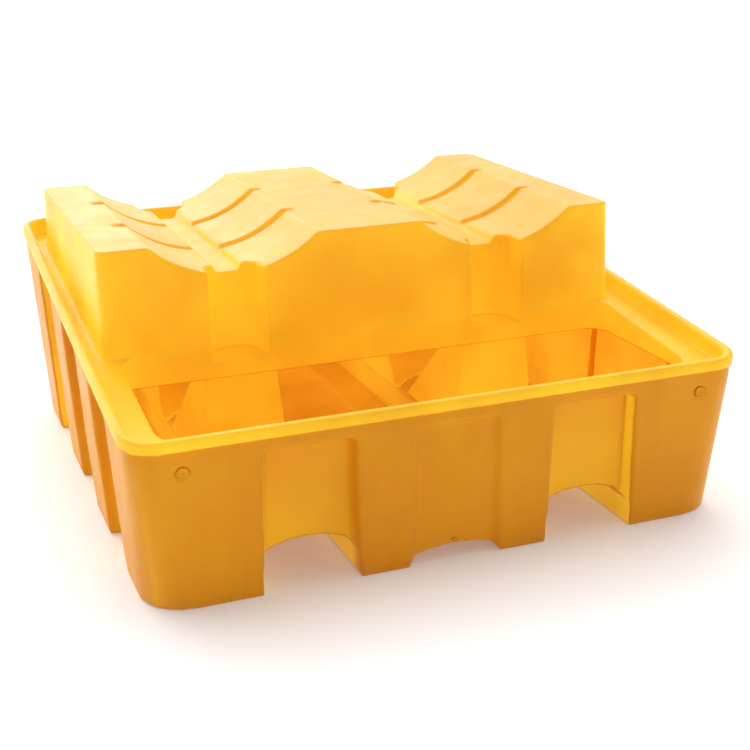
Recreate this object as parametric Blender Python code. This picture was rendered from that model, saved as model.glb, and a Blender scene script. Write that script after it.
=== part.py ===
"""Spill containment pallet for two drums lying down.

A moulded tub on cast-in feet carries a lift-off deck: a rolled rim, a gutter that falls to a
drip opening at the front, and a raised cradle with two drum valleys. Four hollow props with
sloping backs stand on the tub's floor under the ends of the valleys. Metres, +Z up, the front
faces -Y.
"""
import math

import bmesh
import bpy

# ---- driving dimensions -------------------------------------------------------------------
WIDTH = 1.430
DEPTH = 1.500
RIM_FRONT_HEIGHT = 0.384
RIM_BACK_HEIGHT = 0.545
FIT = 0.0003                    # gap between touching pieces

# tub
TUB_WALL = 0.007
COLLAR_DROP = 0.050             # the wall stands straight from here up to the rim
SIDE_DRAFT = 0.020              # how far a side wall leans in at the floor
END_DRAFT = 0.017
TOP_CORNER_RADIUS = 0.075
FOOT_CORNER_RADIUS = 0.105
CORNER_SEGMENTS = 6
FORK_INNER = 0.224              # fork pocket, from the centre plane
FORK_WIDTH = 0.216
FORK_SPRING_HEIGHT = 0.055      # where the pocket's arch begins
FORK_CROWN_HEIGHT = 0.100
FORK_PANEL_DEPTH = 0.050
MIDDLE_HALF_WIDTH = 0.106
MIDDLE_SPRING_HEIGHT = 0.006
MIDDLE_CROWN_HEIGHT = 0.031
MIDDLE_PANEL_DEPTH = 0.015
PANEL_TOP_BELOW_RIM = 0.055     # the panels stop this far under the rim
PANEL_TAPER = 0.006             # each side of an end panel closes in by this much up to its head
PANEL_DRAFT = 0.012             # each side of a panel closes in by this much towards its floor
PANEL_HEAD_SHARE = 0.75         # a panel's depth at its head, as a share of the depth at its foot
ARCH_SEGMENTS = 12
SIDE_RIB_FRONT = 0.247          # front corner foot's length along the side
SIDE_RIB_BACK = 0.291
SIDE_PANEL_WIDTH = 0.214
SIDE_PANEL_COUNT = 3
SIDE_PANEL_DEPTH = 0.036

# deck
SKIN = 0.006
RIM_WIDTH = 0.023
RIM_ROUND = 0.006
RIM_ROUND_SHARE = 0.3           # where the round's middle point lies, as a share of its radius
RIM_CAP = 0.006
SKIRT = 0.0065
SKIRT_DROP = 0.028
DECK_DROP = 0.040               # deck's top face under the rim
OPENING_HALF_WIDTH = 0.625
OPENING_FRONT = 0.088           # from the front of the rim
OPENING_BACK = 0.514
OPENING_RADIUS = 0.050
APRON_HEIGHT = 0.323            # the turned-down edge ends at this height

# cradle
CRADLE_HEIGHT = 0.650
CRADLE_HALF_WIDTH = 0.654
CRADLE_FRONT = 0.524
CRADLE_TO_BACK = 0.119            # from the cradle's back face to the back of the rim
CRADLE_END_DRAFT = 0.008
CRADLE_SIDE_DRAFT = 0.005
VALLEY_CENTRE = 0.334
VALLEY_HALF_WIDTH = 0.202
VALLEY_RADIUS = 0.300
VALLEY_SEGMENTS = 9             # each side of the channel
CHANNEL_HALF_WIDTH = 0.036
CHANNEL_DEPTH = 0.022
CHANNEL_SLOPE = 0.010
HOOP_PLACES = (0.799, 1.094)    # from the front of the rim
HOOP_WIDTH = 0.034
HOOP_DEPTH = 0.010
HOOP_RUN_OUT = 0.030            # how far a groove runs on past the valley's edge
RIDGE_NOTCH_SHARE = 0.6         # a groove's depth on the ridge, as a share of its depth
NICHE_HALF_WIDTH = 0.068
NICHE_DEPTH = 0.098
NICHE_FLOOR_FRONT = -0.035      # from the deck's top face: the front niches run on down the apron
NICHE_FLOOR_REAR = 0.004
NICHE_SEGMENTS = 8
NICHE_POWER = 0.6               # below 1 the niche is squarer than half an ellipse
CRADLE_CORNER_RADIUS = 0.030

# props
PROP_WIDTH = 0.172              # at the top
PROP_LENGTH = 0.060             # at the top
PROP_SET_BACK = 0.006           # prop's face behind the cradle's face
PROP_WALL = 0.006
PROP_SIDE_SLOPE = 0.098         # each side moves out by this much of the drop
PROP_BACK_SLOPE = 1.0           # the back runs under the cradle by this much of the drop
PROP_SADDLE = 0.022             # how far a prop's foot straddles the fork pocket's roof

# fittings
INSERT_RADIUS = 0.013
INSERT_FROM_CENTRE = 0.600
INSERT_BELOW_RIM = 0.072
INSERT_POCKET = 0.005
INSERT_PROUD = 0.0015
VENT_RADIUS = 0.0055
VENT_ABOVE_CROWN = 0.012
VENT_POCKET = 0.004
VENT_PROUD = 0.003
ROUND_SEGMENTS = 24

# ---- places worked out from them ----------------------------------------------------------
FRONT = -DEPTH / 2
BACK = DEPTH / 2
CRADLE_BACK = DEPTH - CRADLE_TO_BACK
SIDE_PANEL_RUN = DEPTH - SIDE_RIB_FRONT - SIDE_RIB_BACK - SIDE_PANEL_WIDTH
SIDE_RIB_PITCH = SIDE_PANEL_RUN / (SIDE_PANEL_COUNT - 1)
RIM_SLOPE = (RIM_BACK_HEIGHT - RIM_FRONT_HEIGHT) / DEPTH
TUB_INSET = SKIRT + FIT
TUB_TOP_DROP = RIM_CAP + FIT
OVERCUT = 0.020
VENT_OVERCUT = 0.005            # short enough to stay clear of the panel's arch
PLATE_EMBED = SKIN / 2

YELLOW = (0.88, 0.47, 0.035, 1.0)
DEEP_YELLOW = (0.80, 0.36, 0.02, 1.0)


def rim_height(y):
    """Height of the rim's top at a place along the length."""
    return RIM_FRONT_HEIGHT + RIM_SLOPE * (y - FRONT)


def deck_height(y):
    """Height of the deck's top face at a place along the length."""
    return rim_height(y) - DECK_DROP


def finish(name, colour, roughness):
    """A plain moulded plastic."""
    material = bpy.data.materials.new(name)
    material.use_nodes = True
    shader = material.node_tree.nodes["Principled BSDF"]
    shader.inputs["Base Color"].default_value = colour
    shader.inputs["Roughness"].default_value = roughness
    shader.inputs["Metallic"].default_value = 0.0
    material.diffuse_color = colour
    return material


def add_object(name, bm, material=None):
    """Makes an object of a bmesh and frees it."""
    bmesh.ops.recalc_face_normals(bm, faces=bm.faces)
    mesh = bpy.data.meshes.new(name)
    bm.to_mesh(mesh)
    bm.free()
    if material:
        mesh.materials.append(material)
    item = bpy.data.objects.new(name, mesh)
    bpy.context.scene.collection.objects.link(item)
    return item


def as_cutter(item):
    """Marks a helper body that isn't a piece of the pallet."""
    item.hide_render = True
    item.display_type = "WIRE"
    return item


def combine(item, other, operation):
    """Adds a live Boolean with the exact solver."""
    modifier = item.modifiers.new(operation.lower() + "_" + other.name, "BOOLEAN")
    modifier.operation = operation
    modifier.solver = "EXACT"
    modifier.object = other


def rounded_rectangle(x0, x1, y0, y1, radius):
    """Points of a rounded rectangle, anticlockwise."""
    centres = (
        (x1 - radius, y0 + radius, -90),
        (x1 - radius, y1 - radius, 0),
        (x0 + radius, y1 - radius, 90),
        (x0 + radius, y0 + radius, 180),
    )
    points = []
    for cx, cy, start in centres:
        for step in range(CORNER_SEGMENTS + 1):
            angle = math.radians(start + 90 * step / CORNER_SEGMENTS)
            points.append((cx + radius * math.cos(angle), cy + radius * math.sin(angle)))
    return points


def rim_outline(inset, radius=TOP_CORNER_RADIUS):
    """The rim's plan, moved inwards."""
    return rounded_rectangle(
        -WIDTH / 2 + inset, WIDTH / 2 - inset, FRONT + inset, BACK - inset, radius - inset
    )


def loft(rings):
    """A closed body through a stack of rings, with a flat cap at each end."""
    bm = bmesh.new()
    loops = [[bm.verts.new(point) for point in ring] for ring in rings]
    for lower, upper in zip(loops, loops[1:]):
        for i in range(len(lower)):
            bm.faces.new((lower[i - 1], lower[i], upper[i], upper[i - 1]))
    bm.faces.new(reversed(loops[0]))
    bm.faces.new(loops[-1])
    bmesh.ops.triangulate(bm, faces=[f for f in bm.faces if len(f.verts) == 4])
    return bm


def prism(points, offset):
    """A flat outline pushed along an offset."""
    bm = bmesh.new()
    face = bm.faces.new([bm.verts.new(point) for point in points])
    pushed = bmesh.ops.extrude_face_region(bm, geom=[face])["geom"]
    moved = [part for part in pushed if isinstance(part, bmesh.types.BMVert)]
    bmesh.ops.translate(bm, vec=offset, verts=moved)
    return bm


def join_cutters(name, bodies):
    """Several separate cutting bodies as one object."""
    whole = bmesh.new()
    for body in bodies:
        mesh = bpy.data.meshes.new("cut")
        bmesh.ops.recalc_face_normals(body, faces=body.faces)
        body.to_mesh(mesh)
        body.free()
        whole.from_mesh(mesh)
        bpy.data.meshes.remove(mesh)
    return as_cutter(add_object(name, whole))


# ---- tub ----------------------------------------------------------------------------------
def tub_rings(inset, floor, top_drop):
    """Foot and top outlines of the tub, moved inwards."""
    foot = rounded_rectangle(
        -WIDTH / 2 + TUB_INSET + SIDE_DRAFT + inset,
        WIDTH / 2 - TUB_INSET - SIDE_DRAFT - inset,
        FRONT + TUB_INSET + END_DRAFT + inset,
        BACK - TUB_INSET - END_DRAFT - inset,
        FOOT_CORNER_RADIUS - inset,
    )
    top = rim_outline(TUB_INSET + inset)
    return [
        [(x, y, floor) for x, y in foot],
        [(x, y, rim_height(y) - COLLAR_DROP) for x, y in top],
        [(x, y, rim_height(y) - top_drop) for x, y in top],
    ]


def arch_outline(x0, x1, spring, crown, low):
    """An arched doorway seen from the front, as (x, z)."""
    half = (x1 - x0) / 2
    points = [(x1, low), (x1, spring)]
    for step in range(1, ARCH_SEGMENTS):
        angle = math.pi * step / ARCH_SEGMENTS
        rise = (crown - spring) * math.sin(angle)
        points.append((x0 + half + half * math.cos(angle), spring + rise))
    points += [(x0, spring), (x0, low)]
    return points


def tunnel(x0, x1, spring, crown, grow):
    """A passage from the front of the tub to its back."""
    outline = arch_outline(x0 - grow, x1 + grow, spring + grow, crown + grow, -OVERCUT)
    start = FRONT - OVERCUT
    return prism([(x, start, z) for x, z in outline], (0, DEPTH + 2 * OVERCUT, 0))


def fork_pocket(side, grow):
    """One fork pocket's passage."""
    x0, x1 = sorted((side * FORK_INNER, side * (FORK_INNER + FORK_WIDTH)))
    return tunnel(x0, x1, FORK_SPRING_HEIGHT, FORK_CROWN_HEIGHT, grow)


def end_panel(x0, x1, depth, end, grow):
    """A recess in the front or back wall, from the ground to under the rim."""
    wall_y = end * DEPTH / 2
    drop = PANEL_TOP_BELOW_RIM - grow
    outer = wall_y + end * OVERCUT
    foot_y = wall_y - end * (TUB_INSET + END_DRAFT + depth + grow)
    head_y = wall_y - end * (TUB_INSET + depth * PANEL_HEAD_SHARE + grow)
    deep = PANEL_DRAFT - grow
    flare = grow + PANEL_DRAFT * (OVERCUT + TUB_INSET + END_DRAFT) / depth
    foot = ((x0 - flare, outer), (x1 + flare, outer), (x1 - deep, foot_y), (x0 + deep, foot_y))
    deep += PANEL_TAPER
    flare = grow - PANEL_TAPER + PANEL_DRAFT * (OVERCUT + TUB_INSET) / (depth * PANEL_HEAD_SHARE)
    head = ((x0 - flare, outer), (x1 + flare, outer), (x1 - deep, head_y), (x0 + deep, head_y))
    return loft([[(x, y, -OVERCUT) for x, y in foot], [(x, y, rim_height(y) - drop) for x, y in head]])


def side_panel(index, side, grow):
    """A recess between two side feet."""
    y0 = FRONT + SIDE_RIB_FRONT + index * SIDE_RIB_PITCH - grow
    y1 = y0 + SIDE_PANEL_WIDTH + 2 * grow
    outer = side * (WIDTH / 2 + OVERCUT)
    foot_x = side * (WIDTH / 2 - TUB_INSET - SIDE_DRAFT - SIDE_PANEL_DEPTH - grow)
    head_x = side * (WIDTH / 2 - TUB_INSET - SIDE_PANEL_DEPTH * PANEL_HEAD_SHARE - grow)
    drop = PANEL_TOP_BELOW_RIM - grow
    y2, y3 = y0 + PANEL_DRAFT, y1 - PANEL_DRAFT
    foot = ((outer, y0), (outer, y1), (foot_x, y3), (foot_x, y2))
    head = ((outer, y0), (outer, y1), (head_x, y3), (head_x, y2))
    return loft([[(x, y, -OVERCUT) for x, y in foot], [(x, y, rim_height(y) - drop) for x, y in head]])


def tub_cuts(grow):
    """All the outside recesses, grown by a wall where they shape the inside."""
    bodies = []
    for side in (-1, 1):
        x0, x1 = sorted((side * FORK_INNER, side * (FORK_INNER + FORK_WIDTH)))
        bodies.append([fork_pocket(side, grow)])
        for end in (-1, 1):
            bodies.append([end_panel(x0, x1, FORK_PANEL_DEPTH, end, grow)])
        for index in range(SIDE_PANEL_COUNT):
            bodies.append([side_panel(index, side, grow)])
    half = MIDDLE_HALF_WIDTH
    bodies.append([tunnel(-half, half, MIDDLE_SPRING_HEIGHT, MIDDLE_CROWN_HEIGHT, grow)])
    for end in (-1, 1):
        bodies.append([end_panel(-half, half, MIDDLE_PANEL_DEPTH, end, grow)])
    tag = "inner" if grow else "outer"
    return [join_cutters(f"{tag}_cut_{i}", body) for i, body in enumerate(bodies)]


def end_wall_place(z, end):
    """A point's y and lean on a front or back wall at a height."""
    top_z = rim_height(end * DEPTH / 2) - COLLAR_DROP
    foot_y = end * (DEPTH / 2 - TUB_INSET - END_DRAFT)
    top_y = end * (DEPTH / 2 - TUB_INSET)
    share = z / top_z
    lean = math.atan2(abs(top_y) - abs(foot_y), top_z)
    return foot_y + (top_y - foot_y) * share, lean


def stud(radius, x, y, z, end, lean, inside, outside):
    """A round body that goes through a wall's face, square to the wall."""
    bm = bmesh.new()
    bmesh.ops.create_cone(
        bm, cap_ends=True, segments=ROUND_SEGMENTS, radius1=radius, radius2=radius,
        depth=inside + outside,
    )
    bmesh.ops.translate(bm, vec=(0, 0, (outside - inside) / 2), verts=bm.verts)
    turn = math.radians(90) * -end + lean * end
    sin, cos = math.sin(turn), math.cos(turn)
    for vert in bm.verts:
        vx, vy, vz = vert.co
        vert.co = (x + vx, y + vy * cos - vz * sin, z + vy * sin + vz * cos)
    return bm


def insert_places():
    """Centre, end and lean of each wall insert."""
    places = {}
    for end, end_name in ((-1, "front"), (1, "rear")):
        z = rim_height(end * DEPTH / 2) - INSERT_BELOW_RIM
        y, lean = end_wall_place(z, end)
        for side, side_name in ((-1, "left"), (1, "right")):
            places[f"insert_{end_name}_{side_name}"] = (side * INSERT_FROM_CENTRE, y, z, end, lean)
    return places


def vent_place():
    """Centre, end and lean of the vent plug, on the middle panel."""
    z = MIDDLE_CROWN_HEIGHT + VENT_ABOVE_CROWN
    panel_top = rim_height(FRONT) - PANEL_TOP_BELOW_RIM
    foot_y = FRONT + TUB_INSET + END_DRAFT + MIDDLE_PANEL_DEPTH
    head_y = FRONT + TUB_INSET + MIDDLE_PANEL_DEPTH * PANEL_HEAD_SHARE
    run = panel_top + OVERCUT
    share = (z + OVERCUT) / run
    lean = math.atan2(foot_y - head_y, run)
    return 0.0, foot_y + (head_y - foot_y) * share, z, -1, lean


def build_tub(material):
    """The liquid-tight lower moulding with its feet, fork pockets and ribs."""
    tub = add_object("sump_tub", loft(tub_rings(0, 0.0, TUB_TOP_DROP)), material)
    for cut in tub_cuts(0):
        combine(tub, cut, "DIFFERENCE")
    inside = as_cutter(add_object("tub_inside", loft(tub_rings(TUB_WALL, TUB_WALL, -OVERCUT))))
    for cut in tub_cuts(TUB_WALL):
        combine(inside, cut, "DIFFERENCE")
    combine(tub, inside, "DIFFERENCE")
    places = insert_places().values()
    pockets = [stud(INSERT_RADIUS + FIT, *place, INSERT_POCKET, OVERCUT) for place in places]
    pockets.append(stud(VENT_RADIUS + FIT, *vent_place(), VENT_POCKET, VENT_OVERCUT))
    combine(tub, join_cutters("pocket_cut", pockets), "DIFFERENCE")
    return tub


# ---- deck ---------------------------------------------------------------------------------
def valley_profile(drop):
    """The cradle's top from right to left, as (x, z), lowered by a skin."""
    centre_z = CRADLE_HEIGHT + math.sqrt(VALLEY_RADIUS ** 2 - VALLEY_HALF_WIDTH ** 2)
    channel = math.asin(CHANNEL_HALF_WIDTH / VALLEY_RADIUS)
    reach = VALLEY_RADIUS + drop

    def arc(start, stop):
        steps = range(VALLEY_SEGMENTS + 1)
        angles = [start + (stop - start) * i / VALLEY_SEGMENTS for i in steps]
        return [(reach * math.sin(a), centre_z - reach * math.cos(a)) for a in angles]

    edge = math.acos((centre_z - (CRADLE_HEIGHT - drop)) / reach)
    channel_z = centre_z - VALLEY_RADIUS * math.cos(channel) - CHANNEL_DEPTH - drop
    bottom = CHANNEL_HALF_WIDTH - CHANNEL_SLOPE + drop
    start = math.asin((CHANNEL_HALF_WIDTH + drop) / reach)
    points = arc(edge, start) + [(bottom, channel_z), (-bottom, channel_z)] + arc(-start, -edge)
    return [(x + VALLEY_CENTRE, z) for x, z in points] + [(x - VALLEY_CENTRE, z) for x, z in points]


def cradle_body(shrink, low):
    """The cradle as a solid that leans out towards its foot."""
    side = CRADLE_HALF_WIDTH - shrink
    top = CRADLE_HEIGHT - shrink
    profile = [(side, top)] + valley_profile(shrink) + [(-side, top)]
    ends = ((CRADLE_FRONT + shrink, -1), (CRADLE_BACK - shrink, 1))
    rings = []
    for place, end in ends:
        y_top = FRONT + place
        y_foot = y_top + end * CRADLE_END_DRAFT
        foot_z = deck_height(y_foot) - low
        foot_x = side + CRADLE_SIDE_DRAFT
        points = [(foot_x, y_foot, foot_z)]
        for x, z in profile:
            share = (z - foot_z) / (top - foot_z)
            points.append((x, y_foot + (y_top - y_foot) * share, z))
        points.append((-foot_x, y_foot, foot_z))
        rings.append(points)
    return loft(rings)


def cradle_face(end):
    """The y of the cradle's front or back face."""
    return FRONT + (CRADLE_FRONT if end < 0 else CRADLE_BACK)


def niche_floor(end):
    """Height of a niche's floor."""
    return deck_height(cradle_face(end)) + (NICHE_FLOOR_FRONT if end < 0 else NICHE_FLOOR_REAR)


def corner_body(side, end, shrink, low):
    """What a vertical corner of the cradle loses to its radius."""
    radius = CRADLE_CORNER_RADIUS - shrink
    foot_z = deck_height(cradle_face(end)) - low - OVERCUT
    high = CRADLE_HEIGHT + OVERCUT
    rings = []
    for z in (foot_z, high):
        share = (CRADLE_HEIGHT - z) / (CRADLE_HEIGHT - foot_z)
        x = side * (CRADLE_HALF_WIDTH - shrink + CRADLE_SIDE_DRAFT * share)
        y = cradle_face(end) + end * (CRADLE_END_DRAFT * share - shrink)
        ring = [(x - side * radius, y + end * OVERCUT), (x + side * OVERCUT, y + end * OVERCUT)]
        ring.append((x + side * OVERCUT, y - end * radius))
        for step in range(CORNER_SEGMENTS + 1):
            angle = math.radians(90) * step / CORNER_SEGMENTS
            across = radius * (1 - math.cos(angle))
            along = radius * (1 - math.sin(angle))
            ring.append((x - side * across, y - end * along))
        rings.append([(px, py, z) for px, py in ring])
    return loft(rings)


def niche_body(side, end, grow, high=None):
    """A half-round hollow in the cradle's end under a valley, up to a height that may follow y."""
    face = cradle_face(end)
    half = NICHE_HALF_WIDTH + grow
    deep = NICHE_DEPTH + grow
    outer = face + end * OVERCUT
    points = [(side * VALLEY_CENTRE + half, outer)]
    for step in range(NICHE_SEGMENTS + 1):
        angle = math.pi * step / NICHE_SEGMENTS
        y = face - end * deep * math.sin(angle) ** NICHE_POWER
        points.append((side * VALLEY_CENTRE + half * math.cos(angle), y))
    points.append((side * VALLEY_CENTRE - half, outer))
    low = niche_floor(end) - grow
    head = [(x, y, high(y) if high else CRADLE_HEIGHT + OVERCUT) for x, y in points]
    return loft([[(x, y, low) for x, y in points], head])


def hoop_body(side, place, grow):
    """A groove across a valley for a drum's rolling hoop."""
    half = VALLEY_HALF_WIDTH + HOOP_RUN_OUT + grow
    radius = VALLEY_RADIUS + HOOP_DEPTH + grow
    sink = CRADLE_HEIGHT - HOOP_DEPTH * RIDGE_NOTCH_SHARE - grow
    centre_z = CRADLE_HEIGHT + math.sqrt(VALLEY_RADIUS ** 2 - VALLEY_HALF_WIDTH ** 2)
    edge = math.acos((centre_z - sink) / radius)
    x0 = side * VALLEY_CENTRE
    points = [(x0 + half, CRADLE_HEIGHT + OVERCUT), (x0 + half, sink)]
    for step in range(2 * VALLEY_SEGMENTS + 1):
        angle = edge - 2 * edge * step / (2 * VALLEY_SEGMENTS)
        points.append((x0 + radius * math.sin(angle), centre_z - radius * math.cos(angle)))
    points += [(x0 - half, sink), (x0 - half, CRADLE_HEIGHT + OVERCUT)]
    y0 = FRONT + place - HOOP_WIDTH / 2 - grow
    return prism([(x, y0, z) for x, z in points], (0, HOOP_WIDTH + 2 * grow, 0))


def cradle_with_cuts(name, shrink, low):
    """The cradle solid less its niches, rounded corners and hoop grooves."""
    body = as_cutter(add_object(name, cradle_body(shrink, low)))
    places = [(side, end) for side in (-1, 1) for end in (-1, 1)]
    niches = [niche_body(side, end, shrink) for side, end in places]
    combine(body, join_cutters(name + "_niches", niches), "DIFFERENCE")
    corners = [corner_body(side, end, shrink, low) for side, end in places]
    combine(body, join_cutters(name + "_corners", corners), "DIFFERENCE")
    hoops = [hoop_body(side, place, shrink) for side in (-1, 1) for place in HOOP_PLACES]
    combine(body, join_cutters(name + "_hoops", hoops), "DIFFERENCE")
    return body


def opening_ring(grow, height):
    """The drip opening's plan at a height, or at a height that follows the deck."""
    points = rounded_rectangle(
        -OPENING_HALF_WIDTH - grow,
        OPENING_HALF_WIDTH + grow,
        FRONT + OPENING_FRONT - grow,
        FRONT + OPENING_BACK + grow,
        OPENING_RADIUS + grow,
    )
    return [(x, y, height(y) if callable(height) else height) for x, y in points]


def build_deck(material):
    """The upper moulding: rim, gutter, opening edge and drum cradle in one skin."""
    under = DECK_DROP + SKIN
    groove = SKIRT + TUB_WALL + 2 * FIT
    soft = RIM_ROUND * RIM_ROUND_SHARE
    profile = (
        (groove, -under),
        (groove, -RIM_CAP),
        (SKIRT, -RIM_CAP),
        (SKIRT, -SKIRT_DROP),
        (0.0, -SKIRT_DROP),
        (0.0, -RIM_ROUND),
        (soft, -soft),
        (RIM_ROUND, 0.0),
        (RIM_WIDTH - RIM_ROUND, 0.0),
        (RIM_WIDTH - soft, -soft),
        (RIM_WIDTH, -RIM_ROUND),
        (RIM_WIDTH, -DECK_DROP),
    )
    rings = [[(x, y, rim_height(y) + rise) for x, y in rim_outline(inset)] for inset, rise in profile]
    deck = add_object("cradle_deck", loft(rings), material)
    embed = DECK_DROP + PLATE_EMBED
    apron = as_cutter(add_object("apron_block", loft([
        opening_ring(SKIN, APRON_HEIGHT),
        opening_ring(SKIN, lambda y: rim_height(y) - embed),
    ])))
    combine(deck, apron, "UNION")
    shells = [
        niche_body(side, -1, SKIN, lambda y: deck_height(y) - PLATE_EMBED / 2) for side in (-1, 1)
    ]
    combine(deck, join_cutters("niche_shells", shells), "UNION")
    combine(deck, cradle_with_cuts("cradle_outer", 0.0, PLATE_EMBED), "UNION")
    opening = as_cutter(add_object("opening_cut", loft([
        opening_ring(0.0, APRON_HEIGHT - OVERCUT),
        opening_ring(0.0, lambda y: deck_height(y) + SKIN / 2),
    ])))
    combine(deck, opening, "DIFFERENCE")
    combine(deck, cradle_with_cuts("cradle_inner", SKIN, SKIN + OVERCUT), "DIFFERENCE")
    niches = [niche_body(side, -1, 0.0) for side in (-1, 1)]
    combine(deck, join_cutters("front_niche_cut", niches), "DIFFERENCE")
    return deck


# ---- props and fittings -------------------------------------------------------------------
def build_prop(name, side, end, saddle, material):
    """A hollow buttress that stands astride a fork pocket under the end of a drum valley."""
    near = cradle_face(end) - end * PROP_SET_BACK
    top_z = niche_floor(end) - SKIN - FIT
    foot_z = FORK_CROWN_HEIGHT + TUB_WALL - PROP_SADDLE

    def ring(inset, z):
        drop = top_z - z
        half = PROP_WIDTH / 2 - inset + drop * PROP_SIDE_SLOPE
        far = near - end * (PROP_LENGTH + drop * PROP_BACK_SLOPE)
        y0, y1 = sorted((near, far))
        x0 = side * VALLEY_CENTRE
        return [
            (x0 - half, y0 + inset, z),
            (x0 + half, y0 + inset, z),
            (x0 + half, y1 - inset, z),
            (x0 - half, y1 - inset, z),
        ]

    prop = add_object(name, loft([ring(0, foot_z), ring(0, top_z)]), material)
    hollow = as_cutter(add_object(name + "_hollow", loft([
        ring(PROP_WALL, foot_z - OVERCUT),
        ring(PROP_WALL, top_z - PROP_WALL),
    ])))
    combine(prop, hollow, "DIFFERENCE")
    combine(prop, saddle, "DIFFERENCE")
    return prop


def build_plug(name, radius, place, inside, proud, material):
    """A round plug pressed into a pocket in the wall."""
    plug = add_object(name, stud(radius, *place, inside - FIT, proud), material)
    plug.data.shade_smooth()
    plug.data.set_sharp_from_angle(angle=math.radians(40))
    return plug


def main():
    """Builds the pallet."""
    for item in list(bpy.data.objects):
        bpy.data.objects.remove(item)
    moulding = finish("yellow_polyethylene", YELLOW, 0.42)
    fitting = finish("deep_yellow_polyethylene", DEEP_YELLOW, 0.5)
    build_tub(moulding)
    build_deck(moulding)
    for side, side_name in ((-1, "left"), (1, "right")):
        saddle = join_cutters(f"saddle_{side_name}", [fork_pocket(side, TUB_WALL + FIT)])
        for end, end_name in ((-1, "front"), (1, "rear")):
            build_prop(f"prop_{end_name}_{side_name}", side, end, saddle, fitting)
    for name, place in insert_places().items():
        build_plug(name, INSERT_RADIUS, place, INSERT_POCKET, INSERT_PROUD, fitting)
    build_plug("vent_plug", VENT_RADIUS, vent_place(), VENT_POCKET, VENT_PROUD, fitting)


main()
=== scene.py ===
"""Spill containment pallet for two drums lying down, moulded in yellow polyethylene.

The mouldings keep the frame's walls and get the soft, rounded edges that come out of a
rotational mould. Metres, +Z up, the front faces -Y.
"""

import logging
import math
from dataclasses import dataclass, field
from enum import Enum
from typing import Any

import bmesh
import bpy
from mathutils import Matrix, Vector


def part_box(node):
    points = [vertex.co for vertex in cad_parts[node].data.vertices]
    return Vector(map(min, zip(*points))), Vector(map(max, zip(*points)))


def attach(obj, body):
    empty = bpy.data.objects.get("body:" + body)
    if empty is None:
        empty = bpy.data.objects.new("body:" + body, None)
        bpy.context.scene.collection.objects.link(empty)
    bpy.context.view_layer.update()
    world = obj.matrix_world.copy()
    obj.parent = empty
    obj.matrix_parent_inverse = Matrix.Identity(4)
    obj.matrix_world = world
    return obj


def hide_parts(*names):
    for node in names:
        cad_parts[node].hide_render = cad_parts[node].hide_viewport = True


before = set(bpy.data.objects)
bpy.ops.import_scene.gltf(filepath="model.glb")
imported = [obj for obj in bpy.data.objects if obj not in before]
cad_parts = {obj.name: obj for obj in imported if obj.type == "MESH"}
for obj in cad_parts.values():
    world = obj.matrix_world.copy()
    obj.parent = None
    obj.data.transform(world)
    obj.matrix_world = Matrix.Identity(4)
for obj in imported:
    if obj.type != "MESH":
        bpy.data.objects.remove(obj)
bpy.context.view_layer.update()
LOG = logging.getLogger("pallet")

Colour = tuple[float, float, float, float]

# The tub's two tones are a darker, oranger copy of the deck's plastic: painted shade for the tub's
# walls, which face away from the light. The fittings share them.
TUB_SHADED_PALE: Colour = (0.870, 0.385, 0.008, 1.0)
TUB_SHADED_DEEP: Colour = (0.810, 0.325, 0.006, 1.0)


class Body(Enum):
    """The two bodies that pieces ride on."""

    TUB = "tub"
    DECK = "deck"


class Slot(Enum):
    """The record's material slots."""

    MOULDING = "yellow_moulding"
    FITTING = "yellow_fitting"


# ---- shader language ----------------------------------------------------------------------
class Number:
    """A number socket that can be used in sums."""

    def __init__(self, graph: "Graph", socket: bpy.types.NodeSocket) -> None:
        """Wraps a socket.

        Args:
            graph: The node graph that the socket is in.
            socket: The output socket.
        """
        self.graph = graph
        self.socket = socket

    def _math(self, operation: str, first: Any, second: Any) -> "Number":
        """Adds a Math node.

        Args:
            operation: The node's operation.
            first: A number or a wrapped socket.
            second: A number or a wrapped socket.

        Returns:
            The wrapped result.
        """
        node = self.graph.node("ShaderNodeMath", {"operation": operation}, {0: first, 1: second})
        return Number(self.graph, node.outputs[0])

    def __add__(self, other: Any) -> "Number":
        """Adds."""
        return self._math("ADD", self, other)

    def __radd__(self, other: Any) -> "Number":
        """Adds from the left."""
        return self._math("ADD", other, self)

    def __sub__(self, other: Any) -> "Number":
        """Subtracts."""
        return self._math("SUBTRACT", self, other)

    def __rsub__(self, other: Any) -> "Number":
        """Subtracts from a number."""
        return self._math("SUBTRACT", other, self)

    def __mul__(self, other: Any) -> "Number":
        """Multiplies."""
        return self._math("MULTIPLY", self, other)

    def __rmul__(self, other: Any) -> "Number":
        """Multiplies from the left."""
        return self._math("MULTIPLY", other, self)

    def size(self) -> "Number":
        """The value without its sign."""
        return self._math("ABSOLUTE", self, 0.0)

    def at_least(self, other: Any) -> "Number":
        """The larger of the two."""
        return self._math("MAXIMUM", self, other)

    def ramp(self, low: float, high: float, to_low: float = 0.0, to_high: float = 1.0) -> "Number":
        """A smooth step between two values.

        Args:
            low: Where the step begins.
            high: Where the step ends.
            to_low: The result at low.
            to_high: The result at high.

        Returns:
            The wrapped result.
        """
        settings = {"interpolation_type": "SMOOTHSTEP"}
        values = {"Value": self, "From Min": low, "From Max": high, "To Min": to_low, "To Max": to_high}
        node = self.graph.node("ShaderNodeMapRange", settings, values)
        return Number(self.graph, node.outputs["Result"])


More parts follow.
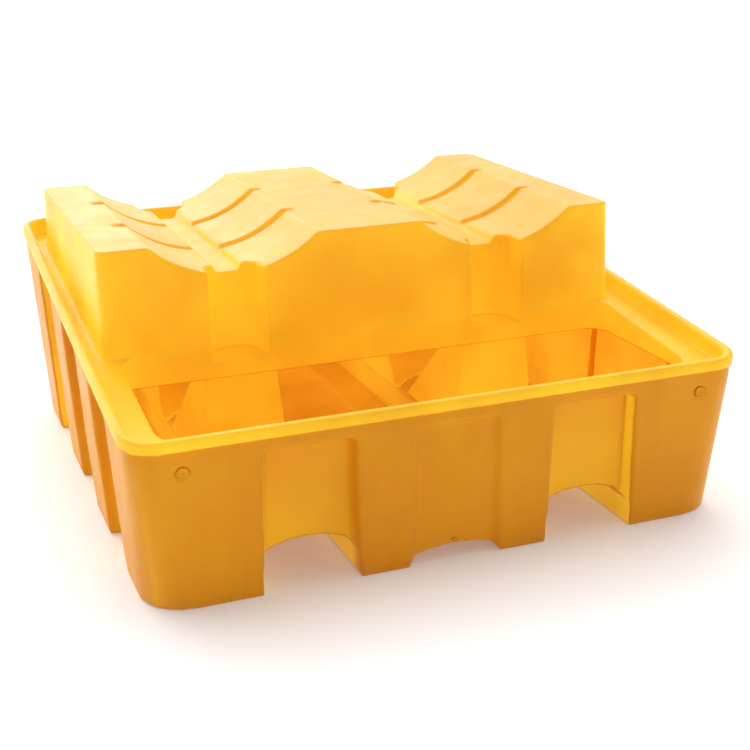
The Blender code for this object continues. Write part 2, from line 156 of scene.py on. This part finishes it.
class Graph:
    """The node graph of one material or of the room."""

    def __init__(self, owner: bpy.types.Material | bpy.types.World) -> None:
        """Empties the owner's graph.

        Args:
            owner: The material or world.
        """
        self.owner = owner
        owner.use_nodes = True
        self.tree = owner.node_tree
        self.tree.nodes.clear()

    def node(self, kind: str, settings: dict[str, Any], values: dict[Any, Any]) -> bpy.types.Node:
        """Adds any node.

        Args:
            kind: The node's type.
            settings: Its settings, which are set first.
            values: Its sockets' values or links, by name or number.

        Returns:
            The node.
        """
        node = self.tree.nodes.new(kind)
        for key, value in settings.items():
            setattr(node, key, value)
        for key, value in values.items():
            if isinstance(value, Number):
                self.tree.links.new(value.socket, node.inputs[key])
            elif isinstance(value, bpy.types.NodeSocket):
                self.tree.links.new(value, node.inputs[key])
            else:
                node.inputs[key].default_value = value
        return node

    def place(self, scale: tuple[float, float, float] = (1, 1, 1)) -> bpy.types.NodeSocket:
        """Object coordinates, stretched.

        Args:
            scale: How the pattern is squeezed along each axis.

        Returns:
            The vector socket.
        """
        coordinates = self.node("ShaderNodeTexCoord", {}, {})
        values = {"Vector": coordinates.outputs["Object"], "Scale": scale}
        return self.node("ShaderNodeMapping", {}, values).outputs["Vector"]

    def noise(self, where: bpy.types.NodeSocket, scale: float, detail: float = 2.0) -> Number:
        """A cloud pattern between 0 and 1.

        Args:
            where: The vector socket.
            scale: Clouds in a metre.
            detail: How many finer layers there are.

        Returns:
            The wrapped pattern.
        """
        values = {"Vector": where, "Scale": scale, "Detail": detail, "Roughness": 0.55}
        node = self.node("ShaderNodeTexNoise", {}, values)
        return Number(self, node.outputs["Fac"])

    def height(self) -> Number:
        """Height above the ground, in metres."""
        split = self.node("ShaderNodeSeparateXYZ", {}, {"Vector": self.place()})
        return Number(self, split.outputs["Z"])

    def facing(self) -> Number:
        """How far the surface faces up, from -1 to 1."""
        coordinates = self.node("ShaderNodeTexCoord", {}, {})
        split = self.node("ShaderNodeSeparateXYZ", {}, {"Vector": coordinates.outputs["Normal"]})
        return Number(self, split.outputs["Z"])

    def insideness(self, half_width: float, half_depth: float) -> Number:
        """How much a point is inside an upright box or on a wall that faces its middle, 0 to 1.

        Args:
            half_width: Half of the box along X.
            half_depth: Half of the box along Y.

        Returns:
            The wrapped share.
        """
        coordinates = self.node("ShaderNodeTexCoord", {}, {})
        outward = self.node(
            "ShaderNodeVectorMath",
            {"operation": "DOT_PRODUCT"},
            {0: coordinates.outputs["Normal"], 1: coordinates.outputs["Object"]},
        )
        inner_face = Number(self, outward.outputs["Value"]).ramp(-0.20, -0.05, 1.0, 0.0)
        split = self.node("ShaderNodeSeparateXYZ", {}, {"Vector": self.place()})
        across = Number(self, split.outputs["X"]).size() * (1 / half_width)
        along = Number(self, split.outputs["Y"]).size() * (1 / half_depth)
        within = 1 - across.at_least(along).ramp(0.90, 0.985)
        return within.at_least(inner_face)

    def mix(self, share: Number, first: Any, second: Any, clamp: bool = True) -> bpy.types.NodeSocket:
        """A blend of two colours.

        Args:
            share: How much of the second colour there is.
            first: A colour or a colour socket.
            second: A colour or a colour socket.
            clamp: Whether the share stops at 1.

        Returns:
            The colour socket.
        """
        values = {0: share, 6: first, 7: second}
        settings = {"data_type": "RGBA", "clamp_factor": clamp}
        node = self.node("ShaderNodeMix", settings, values)
        return node.outputs[2]


# ---- finishes -----------------------------------------------------------------------------
@dataclass(frozen=True)
class Polyethylene:
    """Rotationally moulded polyethylene: satin, a little translucent, with a fine peel and a painted
    inner glow.
    """

    name: str
    light: Colour = (0.900, 0.425, 0.010, 1.0)
    deep: Colour = (0.850, 0.360, 0.007, 1.0)
    scuff: Colour = (0.700, 0.340, 0.060, 1.0)
    roughness: float = 0.40
    scuff_height: float = 0.035
    cloud_scale: float = 2.6
    flow_scale: float = 9.0
    speckle_scale: float = 190.0
    rub_scale: float = 60.0
    satin_scale: float = 16.0
    peel_scale: float = 420.0
    sag_scale: float = 14.0
    bump_strength: float = 0.35
    bump_depth: float = 0.0012
    # The next four fields damp the painted glow on high, upward faces that the lamps already reach.
    sunlit_from: float = 0.44
    sunlit_to: float = 0.58
    floor_damping: float = 0.42
    top_damping: float = 0.85
    glow: float = 0.35
    depth: float = 0.012
    # Colour of the painted glow: emission that stands in for light soaking through the thin walls.
    painted_glow_colour: tuple[float, float, float] = (0.34, 0.27, 0.012)
    inner_box: tuple[float, float] | None = None

    def painted_inner_glow(self, graph: Graph, clouds: Number) -> bpy.types.NodeSocket:
        """Painted light: an emission glow standing in for the daylight that soaks through the thin
        walls and bounces inside, strongest away from the outer faces.

        Args:
            graph: The material's graph.
            clouds: A cloud pattern that makes it uneven.

        Returns:
            The colour socket.
        """
        facing = graph.facing()
        # Painted light: downward faces get no glow, and high upward faces get less of it.
        share = clouds.ramp(0.30, 0.70, 0.70, 1.20) * facing.ramp(-0.55, -0.15)
        sunlit = facing.ramp(0.45, 0.90) * graph.height().ramp(
            self.sunlit_from, self.sunlit_to, self.floor_damping, self.top_damping
        )
        share = share * (1 - sunlit)
        if self.inner_box:
            share = share * graph.insideness(*self.inner_box)
        return graph.mix(share, (0.0, 0.0, 0.0, 1.0), (*self.painted_glow_colour, 1.0), clamp=False)

    def material(self) -> bpy.types.Material:
        """Makes the material.

        Returns:
            The material.
        """
        graph = Graph(bpy.data.materials.new(self.name))
        clouds = graph.noise(graph.place(), self.cloud_scale, 3.0)
        flow = graph.noise(graph.place((1.0, 1.0, 0.35)), self.flow_scale, 4.0)
        speckle = graph.noise(graph.place(), self.speckle_scale, 2.0)
        tint = (clouds * 0.6 + flow * 0.4).ramp(0.34, 0.66)
        colour = graph.mix(tint, self.deep, self.light)
        streaks = graph.noise(graph.place((1.0, 1.0, 0.15)), self.rub_scale, 4.0)
        rubbed = streaks.ramp(0.50, 0.68)
        low = 1 - graph.height().ramp(0.004, self.scuff_height)
        wear = low * rubbed * 0.7
        colour = graph.mix(wear, colour, self.scuff)
        satin = graph.noise(graph.place(), self.satin_scale, 3.0).ramp(0.3, 0.7, -0.05, 0.05)
        roughness = satin + wear * 0.2 + speckle * 0.04 + self.roughness
        peel = graph.noise(graph.place(), self.peel_scale, 2.0)
        sag = graph.noise(graph.place(), self.sag_scale, 1.0)
        bump = graph.node(
            "ShaderNodeBump",
            {},
            {
                "Strength": self.bump_strength,
                "Distance": self.bump_depth,
                "Height": peel * 0.10 + sag * 0.9,
            },
        )
        shader = graph.node(
            "ShaderNodeBsdfPrincipled",
            {},
            {
                "Base Color": colour,
                "Roughness": roughness,
                "Normal": bump.outputs["Normal"],
                "IOR": 1.51,
                "Specular IOR Level": 0.34,
                "Specular Tint": (1.0, 0.80, 0.42, 1.0),
                "Subsurface Weight": self.glow,
                "Subsurface Radius": (1.0, 0.45, 0.06),
                "Subsurface Scale": self.depth,
                # Painted light: the emission glows like light soaking through the walls, though the
                # plastic is no lamp.
                "Emission Color": self.painted_inner_glow(graph, clouds),
                "Emission Strength": 1.0,
            },
        )
        graph.node("ShaderNodeOutputMaterial", {}, {"Surface": shader.outputs["BSDF"]})
        graph.owner.diffuse_color = self.light
        return graph.owner


@dataclass(frozen=True)
class StudioPaper:
    """Plain white paper with the faintest unevenness."""

    name: str = "studio_paper"
    pale: Colour = (0.93, 0.925, 0.93, 1.0)
    warm: Colour = (0.91, 0.900, 0.905, 1.0)
    lift: float = 0.18

    def material(self) -> bpy.types.Material:
        """Makes the material.

        Returns:
            The material.
        """
        graph = Graph(bpy.data.materials.new(self.name))
        tint = graph.noise(graph.place(), 0.6, 2.0)
        colour = graph.mix(tint, self.pale, self.warm)
        shader = graph.node(
            "ShaderNodeBsdfPrincipled",
            {},
            {
                "Base Color": colour,
                "Roughness": 0.75,
                "Emission Color": self.pale,
                "Emission Strength": self.lift,
            },
        )
        graph.node("ShaderNodeOutputMaterial", {}, {"Surface": shader.outputs["BSDF"]})
        return graph.owner


# ---- making pieces ------------------------------------------------------------------------
def new_piece(name: str, mesh: bpy.types.Mesh, finish: bpy.types.Material) -> bpy.types.Object:
    """Links a finished mesh as a smooth-shaded object.

    Args:
        name: The piece's name.
        mesh: Its mesh, in place.
        finish: Its material.

    Returns:
        The object.
    """
    mesh.name = name
    mesh.materials.clear()
    mesh.materials.append(finish)
    mesh.shade_smooth()
    piece = bpy.data.objects.new(name, mesh)
    bpy.context.scene.collection.objects.link(piece)
    return piece


def settle(piece: bpy.types.Object) -> bpy.types.Mesh:
    """Takes the mesh that a helper's modifiers give and removes the helper.

    Args:
        piece: The helper object.

    Returns:
        The final mesh.
    """
    graph = bpy.context.evaluated_depsgraph_get()
    mesh = bpy.data.meshes.new_from_object(piece.evaluated_get(graph))
    bpy.data.objects.remove(piece)
    return mesh


def declare(piece: bpy.types.Object, body: Body, slot: Slot, *nodes: str) -> None:
    """Ties a piece to its body and hides the nodes it stands for.

    Args:
        piece: The finished object.
        body: The body it rides on.
        slot: Not used.
        nodes: The nodes it replaces.
    """
    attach(piece, body.value)
    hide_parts(*nodes)
    LOG.info("%s: %d faces on %s", piece.name, len(piece.data.polygons), body.value)


@dataclass
class Moulding:
    """A hollow moulding whose sharp frame edges are softened as a rotational mould leaves them."""

    name: str
    node: str
    body: Body
    slot: Slot
    finish: bpy.types.Material
    voxel: float = 0.005
    passes: int = 8
    triangles: int = 190_000
    weld: float = 0.00001

    def welded_copy(self) -> bpy.types.Object:
        """Copies the node's mesh and merges its loose triangles.

        Returns:
            A helper object.
        """
        shell = bmesh.new()
        shell.from_mesh(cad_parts[self.node].data)
        bmesh.ops.remove_doubles(shell, verts=shell.verts, dist=self.weld)
        mesh = bpy.data.meshes.new(self.name)
        shell.to_mesh(mesh)
        shell.free()
        helper = bpy.data.objects.new(self.name + "_helper", mesh)
        bpy.context.scene.collection.objects.link(helper)
        return helper

    def soften(self, helper: bpy.types.Object) -> bpy.types.Mesh:
        """Rounds every edge.

        Args:
            helper: The welded copy.

        Returns:
            The rounded mesh.
        """
        remesh = helper.modifiers.new("even_skin", "REMESH")
        remesh.mode = "VOXEL"
        remesh.voxel_size = self.voxel
        remesh.use_smooth_shade = True
        smooth = helper.modifiers.new("mould_radius", "SMOOTH")
        smooth.factor = 0.5
        smooth.iterations = self.passes
        graph = bpy.context.evaluated_depsgraph_get()
        quads = len(helper.evaluated_get(graph).data.polygons)
        thin = helper.modifiers.new("thin_flats", "DECIMATE")
        thin.ratio = min(1.0, self.triangles / (2 * quads))
        return settle(helper)

    def build(self) -> bpy.types.Object:
        """Makes the moulding.

        Returns:
            The finished piece.
        """
        piece = new_piece(self.name, self.soften(self.welded_copy()), self.finish)
        declare(piece, self.body, self.slot, self.node)
        return piece


@dataclass
class Plug:
    """A round plug with a raised ring and a dimple, pressed into the wall."""

    node: str
    finish: bpy.types.Material
    ring_share: float = 0.86
    ring_height: float = 0.0011
    dimple_share: float = 0.16
    segments: int = 64
    depth: float = 0.004

    def face(self) -> tuple[Vector, Vector, float]:
        """Finds the plug's outer face on its node.

        Returns:
            The face's centre, its outward normal and its radius.
        """
        low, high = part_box(self.node)
        middle = (low + high) / 2
        outward = Vector((0, -1 if middle.y < 0 else 1, 0))
        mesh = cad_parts[self.node].data
        flat = [p for p in mesh.polygons if p.normal.dot(outward) > 0.9]
        normal = sum((p.normal * p.area for p in flat), Vector()).normalized()
        area = sum(p.area for p in flat)
        centre = sum((p.center * p.area for p in flat), Vector()) / area
        return centre, normal, math.sqrt(area / math.pi)

    def build(self, name: str) -> bpy.types.Object:
        """Makes the plug.

        Args:
            name: The piece's name.

        Returns:
            The finished piece.
        """
        centre, normal, radius = self.face()
        low = -self.depth
        ring = radius * self.ring_share
        half = radius * 0.07
        dimple = radius * self.dimple_share
        outline = [
            (0.0, -0.0010), (dimple * 0.7, -0.0008), (dimple, 0.0002), (dimple * 1.4, 0.0006),
            (dimple * 1.8, 0.0), (ring - half * 1.6, 0.0), (ring - half, self.ring_height * 0.5),
            (ring - half * 0.4, self.ring_height), (ring + half * 0.4, self.ring_height),
            (ring + half, self.ring_height * 0.4), (radius * 0.99, 0.0), (radius, -0.0008),
            (radius, low), (0.0, low),
        ]
        shape = bmesh.new()
        points = [shape.verts.new((r, 0, h)) for r, h in outline]
        edges = [shape.edges.new(pair) for pair in zip(points, points[1:])]
        bmesh.ops.spin(
            shape, geom=points + edges, cent=(0, 0, 0), axis=(0, 0, 1),
            angle=math.tau, steps=self.segments, use_merge=True,
        )
        bmesh.ops.remove_doubles(shape, verts=shape.verts, dist=0.00001)
        bmesh.ops.recalc_face_normals(shape, faces=shape.faces)
        turn = Vector((0, 0, 1)).rotation_difference(normal).to_matrix().to_4x4()
        bmesh.ops.transform(shape, matrix=Matrix.Translation(centre) @ turn, verts=shape.verts)
        mesh = bpy.data.meshes.new(name)
        shape.to_mesh(mesh)
        shape.free()
        piece = new_piece(name, mesh, self.finish)
        declare(piece, Body.TUB, Slot.FITTING, self.node)
        return piece


# ---- the pallet ---------------------------------------------------------------------------
@dataclass
class SpillPallet:
    """The whole object."""

    walled: bpy.types.Material
    moulded: bpy.types.Material
    fitted: bpy.types.Material
    ends: tuple[str, ...] = ("front", "rear")
    sides: tuple[str, ...] = ("left", "right")

    def build_tub(self) -> bpy.types.Object:
        """Makes the liquid-tight tub."""
        return Moulding("tub_moulding", "sump_tub", Body.TUB, Slot.MOULDING, self.walled).build()

    def build_deck(self) -> bpy.types.Object:
        """Makes the deck with its rim, gutter and drum cradle."""
        return Moulding(
            "deck_moulding", "cradle_deck", Body.DECK, Slot.MOULDING, self.moulded,
            voxel=0.004, passes=7,
        ).build()

    def build_props(self) -> list[bpy.types.Object]:
        """Makes the four hollow props."""
        made = []
        for end in self.ends:
            for side in self.sides:
                node = f"prop_{end}_{side}"
                prop = Moulding(
                    f"{node}_moulding", node, Body.TUB, Slot.FITTING, self.moulded,
                    triangles=60_000,
                )
                made.append(prop.build())
        return made

    def build_plugs(self) -> list[bpy.types.Object]:
        """Makes the wall inserts and the vent plug."""
        made = []
        for end in self.ends:
            for side in self.sides:
                node = f"insert_{end}_{side}"
                made.append(Plug(node, self.fitted).build(f"{node}_plug"))
        made.append(Plug("vent_plug", self.fitted, segments=40).build("vent_plug_cap"))
        return made


@dataclass
class Studio:
    """White paper, a broad overhead light, a bank behind and the camera."""

    floor_size: float = 120.0
    front_light: float = 0.18
    back_light: float = 1.7
    right_light: float = 0.38
    sun_energy: float = 2.25
    sun_angle: float = math.radians(75)
    bank_size: tuple[float, float] = (5.0, 2.8)
    bank_energy: float = 60.0
    eye: Vector = field(default_factory=lambda: Vector((-1.096, -3.155, 1.337)))
    yaw: float = math.radians(20.80)
    pitch: float = math.radians(19.32)
    roll: float = math.radians(-1.01)
    lens: float = 63.98
    shift: tuple[float, float] = (-0.0067, 0.0173)

    def build_floor(self) -> bpy.types.Object:
        """Lays the paper."""
        sheet = bmesh.new()
        bmesh.ops.create_grid(sheet, x_segments=8, y_segments=8, size=self.floor_size / 2)
        mesh = bpy.data.meshes.new("paper_floor")
        sheet.to_mesh(mesh)
        sheet.free()
        floor = new_piece("paper_floor", mesh, StudioPaper().material())
        return floor

    def build_world(self) -> None:
        """Fills the room with white light that comes mostly from the back wall."""
        graph = Graph(bpy.data.worlds.new("white_room"))
        coordinates = graph.node("ShaderNodeTexCoord", {}, {})
        split = graph.node("ShaderNodeSeparateXYZ", {}, {"Vector": coordinates.outputs["Generated"]})
        ahead = Number(graph, split.outputs["Y"]) - Number(graph, split.outputs["X"]) * 0.25
        right = Number(graph, split.outputs["X"])
        strength = ahead.ramp(0.30, 0.95, self.front_light, self.back_light)
        strength = strength + right.ramp(-0.6, 0.8, 0.0, self.right_light)
        background = graph.node(
            "ShaderNodeBackground", {}, {"Color": (1.0, 0.99, 0.985, 1.0), "Strength": strength}
        )
        graph.node("ShaderNodeOutputWorld", {}, {"Surface": background.outputs["Background"]})
        bpy.context.scene.world = graph.owner
        bpy.context.scene.view_settings.view_transform = "Standard"

    def aim(self, lamp: bpy.types.Object, target: Vector) -> None:
        """Points a lamp at a place.

        Args:
            lamp: The lamp.
            target: The place.
        """
        direction = target - lamp.location
        lamp.rotation_euler = direction.to_track_quat("-Z", "Y").to_euler()

    def build_lights(self) -> None:
        """Hangs the lights."""
        sun = bpy.data.lights.new("overhead", "SUN")
        sun.energy = self.sun_energy
        sun.angle = self.sun_angle
        lamp = bpy.data.objects.new("overhead", sun)
        lamp.location = (0.2, 2.2, 5.0)
        self.aim(lamp, Vector((0, 0, 0)))
        bank = bpy.data.lights.new("back_bank", "AREA")
        bank.shape = "RECTANGLE"
        bank.size, bank.size_y = self.bank_size
        bank.energy = self.bank_energy
        back = bpy.data.objects.new("back_bank", bank)
        back.location = (-1.4, 5.2, 2.6)
        self.aim(back, Vector((0, 0, 0.5)))
        for item in (lamp, back):
            bpy.context.scene.collection.objects.link(item)

    def build_camera(self) -> None:
        """Sets up the camera."""
        sin_yaw, cos_yaw = math.sin(self.yaw), math.cos(self.yaw)
        sin_pitch, cos_pitch = math.sin(self.pitch), math.cos(self.pitch)
        ahead = Vector((sin_yaw * cos_pitch, cos_yaw * cos_pitch, -sin_pitch))
        level = Vector((cos_yaw, -sin_yaw, 0.0))
        above = level.cross(ahead)
        right = level * math.cos(self.roll) + above * math.sin(self.roll)
        up = right.cross(ahead)
        turn = Matrix((right, up, -ahead)).transposed()
        data = bpy.data.cameras.new("camera")
        data.lens = self.lens
        data.sensor_width = 36.0
        data.shift_x, data.shift_y = self.shift
        data.clip_end = 200.0
        camera = bpy.data.objects.new("camera", data)
        camera.matrix_world = Matrix.Translation(self.eye) @ turn.to_4x4()
        bpy.context.scene.collection.objects.link(camera)
        bpy.context.scene.camera = camera

    def build(self) -> None:
        """Makes the whole studio."""
        self.build_floor()
        self.build_world()
        self.build_lights()
        self.build_camera()


def main() -> None:
    """Builds the classes in order."""
    logging.basicConfig(level=logging.INFO, format="%(message)s")
    Studio().build()
    pallet = SpillPallet(
        walled=Polyethylene(
            "yellow_tub_satin",
            light=TUB_SHADED_PALE,
            deep=TUB_SHADED_DEEP,
            painted_glow_colour=(0.29, 0.24, 0.012),
            inner_box=(0.700, 0.735),
        ).material(),
        moulded=Polyethylene("yellow_deck_satin").material(),
        fitted=Polyethylene(
            "yellow_fitting_satin",
            light=TUB_SHADED_PALE,
            deep=TUB_SHADED_DEEP,
            roughness=0.44,
            painted_glow_colour=(0.02, 0.01, 0.0005),
        ).material(),
    )
    pallet.build_tub()
    pallet.build_deck()
    pallet.build_props()
    pallet.build_plugs()


if __name__ == "__main__":
    main()
